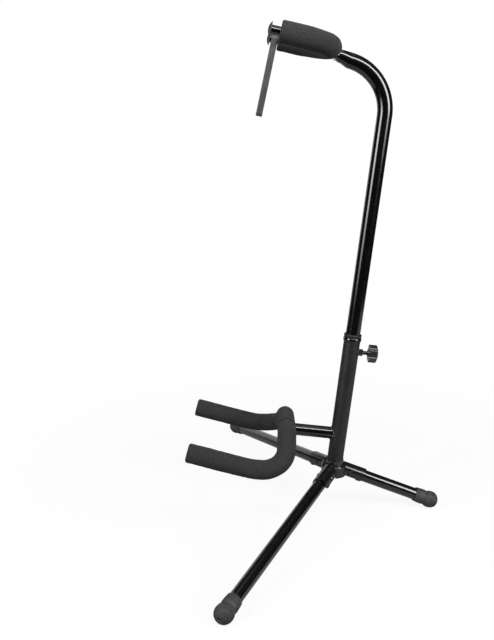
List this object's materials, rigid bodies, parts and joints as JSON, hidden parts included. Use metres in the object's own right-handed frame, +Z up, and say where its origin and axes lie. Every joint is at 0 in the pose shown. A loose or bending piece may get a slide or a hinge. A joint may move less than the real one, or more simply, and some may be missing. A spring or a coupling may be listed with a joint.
{
  "type": "guitar stand",
  "caption": "Folding tripod stand for a guitar: leaning height-adjustable post, padded cradle for the body, padded yoke with a rubber band for the neck",
  "frame": {"origin": "on the floor below the middle of the leg hub", "axes": "+Z up; the guitar rests on the -Y side and the rear leg runs to +Y; +X is the right leg's side as seen from the guitar side"},
  "size_m": [0.6296, 0.4007, 0.7381],
  "materials": {
    "tube_gloss": "gloss black enamel",
    "tube_satin": "satin black enamel",
    "foam": "fine closed-cell foam, matte charcoal",
    "soft_rubber": "matte dark grey moulded rubber",
    "band_rubber": "matte dark grey stretch rubber",
    "nylon": "black moulded nylon",
    "knob_plastic": "gloss black moulded plastic",
    "hub_steel": "black enamel on pressed steel",
    "zinc_steel": "zinc-plated screw"
  },
  "bodies": {
    "base": {"outer_tube": "tube_satin", "mouth_bush": "nylon", "cradle_arm": "tube_gloss", "cradle_rod": "tube_gloss", "cradle_foam_right": "foam", "cradle_foam_left": "foam", "cradle_cap_right": "soft_rubber", "cradle_cap_left": "soft_rubber", "hub_bracket": "hub_steel", "foot_ring": "hub_steel", "leg_rivet_right": "hub_steel", "leg_rivet_left": "hub_steel", "leg_rivet_rear": "hub_steel", "clamp_nut": "hub_steel"},
    "right_leg": {"leg_tube_right": "tube_gloss", "foot_right": "soft_rubber"},
    "left_leg": {"leg_tube_left": "tube_gloss", "foot_left": "soft_rubber"},
    "rear_leg": {"leg_tube_rear": "tube_gloss", "foot_rear": "soft_rubber"},
    "post_slider": {"glide_plug": "nylon"},
    "neck": {"inner_tube": "tube_gloss", "yoke_rod": "tube_gloss", "yoke_foam_right": "foam", "yoke_foam_left": "foam", "yoke_cap_right": "soft_rubber", "yoke_cap_left": "soft_rubber"},
    "band": {"neck_band": "band_rubber"},
    "clamp_slider": {"clamp_screw": "zinc_steel"},
    "knob": {"clamp_knob": "knob_plastic"}
  },
  "joints": [
    {"name": "right_leg_fold", "type": "hinge", "parent": "base", "child": "right_leg", "pos_m": [0.02985, -0.01628, 0.0652], "axis": [0.4787, 0.878, 0], "range_deg": [0, 78]},
    {"name": "left_leg_fold", "type": "hinge", "parent": "base", "child": "left_leg", "pos_m": [-0.02985, -0.01628, 0.0652], "axis": [0.4787, -0.878, 0], "range_deg": [0, 78]},
    {"name": "rear_leg_fold", "type": "hinge", "parent": "base", "child": "rear_leg", "pos_m": [0, 0.0255, 0.0626], "axis": [-1, 0, 0], "range_deg": [0, 70]},
    {"name": "post_height", "type": "slide", "parent": "base", "child": "post_slider", "axis": [0, 0.1028, 0.9947], "range_m": [-0.06, 0.08]},
    {"name": "neck_swivel", "type": "hinge", "parent": "post_slider", "child": "neck", "pos_m": [0, 0.02287, 0.2868], "axis": [0, 0.1028, 0.9947], "continuous": true},
    {"name": "band_swing", "type": "hinge", "parent": "neck", "child": "band", "pos_m": [-0.055, -0.1069, 0.72633], "axis": [0, -0.9785, 0.2062], "range_deg": [-80, 80]},
    {"name": "clamp_feed", "type": "slide", "parent": "base", "child": "clamp_slider", "axis": [0, 0.9947, -0.1028], "range_m": [0, 0.003]},
    {"name": "knob_turn", "type": "hinge", "parent": "clamp_slider", "child": "knob", "pos_m": [0, 0.02045, 0.26332], "axis": [0, 0.9947, -0.1028], "range_deg": [0, 1080]}
  ],
  "couplings": [
    {"joint": "clamp_feed", "follows": "knob_turn", "m_per_rad": 0.00015915}
  ]
}
